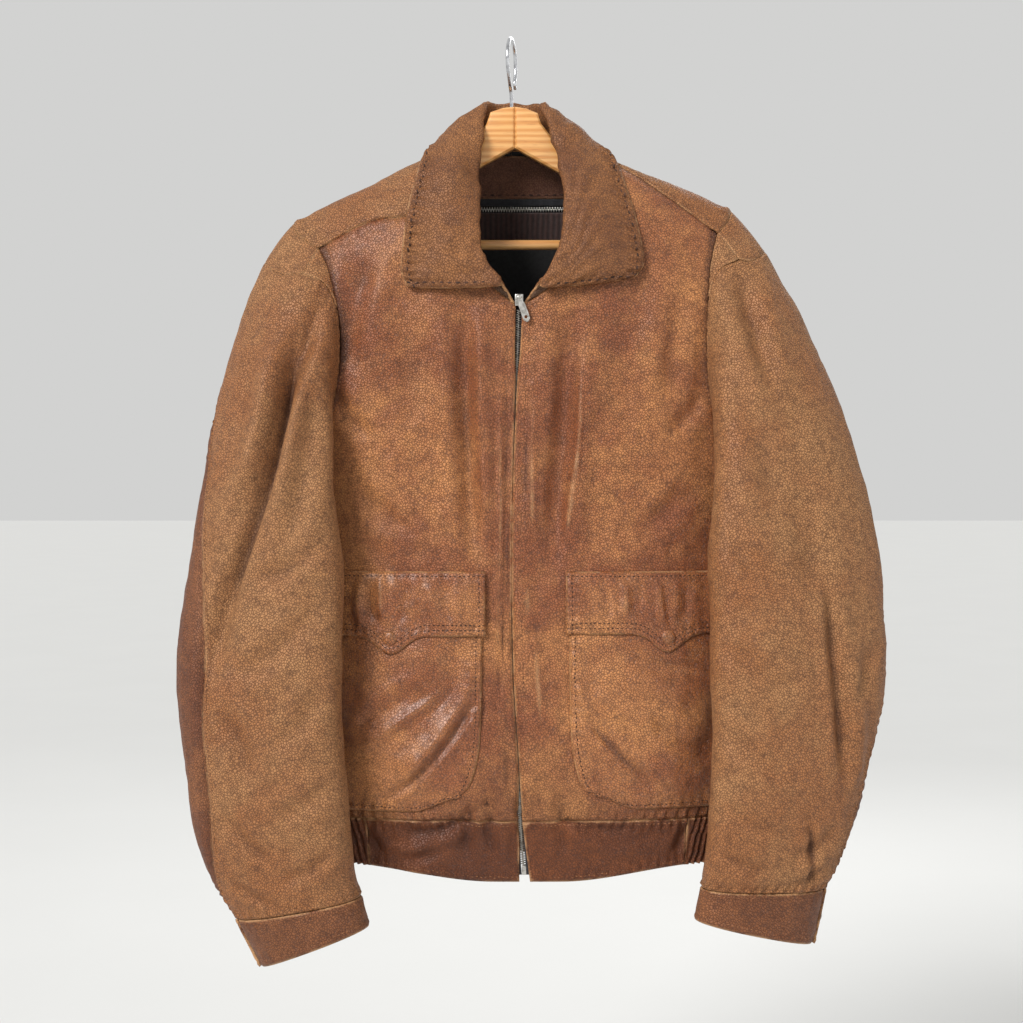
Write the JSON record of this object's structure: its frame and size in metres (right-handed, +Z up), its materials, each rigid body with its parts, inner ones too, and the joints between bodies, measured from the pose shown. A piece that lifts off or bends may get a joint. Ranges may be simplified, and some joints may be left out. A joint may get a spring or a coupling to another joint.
{
  "type": "leather jacket on a wooden hanger",
  "caption": "Waist-length zipped leather jacket with a turned-down collar, flap pockets, banded hem and cuffs, hung on a wooden hanger with a wire hook.",
  "frame": {"origin": "inside top of the hook's crown, where the hanger rests on a rail", "axes": "+X to the right in the front view, the jacket's front faces -Y, +Z up"},
  "size_m": [0.6558, 0.1924, 0.8748],
  "materials": {
    "body_leather": "worn, semi-gloss, mottled reddish brown",
    "sleeve_leather": "worn, matte tan",
    "collar_leather": "worn tan with pale edges",
    "band_leather": "darker brown, worn",
    "cuff_leather": "darker brown, worn",
    "facing_leather": "smooth dark brown",
    "lining": "dark woven lining",
    "pile": "ribbed dark brown strip",
    "tape": "navy woven zip tape",
    "nickel": "dull nickel",
    "chrome_wire": "bright plated wire",
    "wood": "varnished"
  },
  "bodies": {
    "jacket": {"front_right": "body_leather", "yoke_right": "sleeve_leather", "front_left": "body_leather", "yoke_left": "sleeve_leather", "collar": "collar_leather", "back_panel": "body_leather", "sleeve_top_right": "sleeve_leather", "sleeve_under_right": "cuff_leather", "cap_rear_right": "sleeve_leather", "cap_front_right": "sleeve_leather", "cuff_right": "cuff_leather", "cuff_snap_right": "nickel", "band_front_right": "band_leather", "band_side_right": "band_leather", "sleeve_top_left": "sleeve_leather", "sleeve_under_left": "cuff_leather", "cap_rear_left": "sleeve_leather", "cap_front_left": "sleeve_leather", "cuff_left": "cuff_leather", "cuff_snap_left": "nickel", "band_front_left": "band_leather", "band_side_left": "band_leather", "band_back": "band_leather", "pocket_right": "body_leather", "flap_right": "body_leather", "flap_snap_right": "body_leather", "zip_teeth_right": "nickel", "zip_tape_right": "tape", "pocket_left": "body_leather", "flap_left": "body_leather", "flap_snap_left": "body_leather", "zip_teeth_left": "nickel", "zip_tape_left": "tape", "zip_box": "nickel", "zip_slider": "nickel", "neck_facing": "facing_leather", "liner_zip_tape": "tape", "liner_zip_teeth": "nickel", "liner_strip": "pile", "lining_back": "lining", "hook": "chrome_wire", "hanger_arm_right": "wood", "hanger_arm_left": "wood", "hanger_bar": "wood"},
    "zip_pull": {"zip_pull": "nickel"}
  },
  "joints": [
    {"name": "zip_pull_hinge", "type": "hinge", "parent": "jacket", "child": "zip_pull", "pos_m": [0.00697, -0.07014, -0.2515], "axis": [-0.9455, 0, -0.3256], "range_deg": [0, 150]}
  ]
}
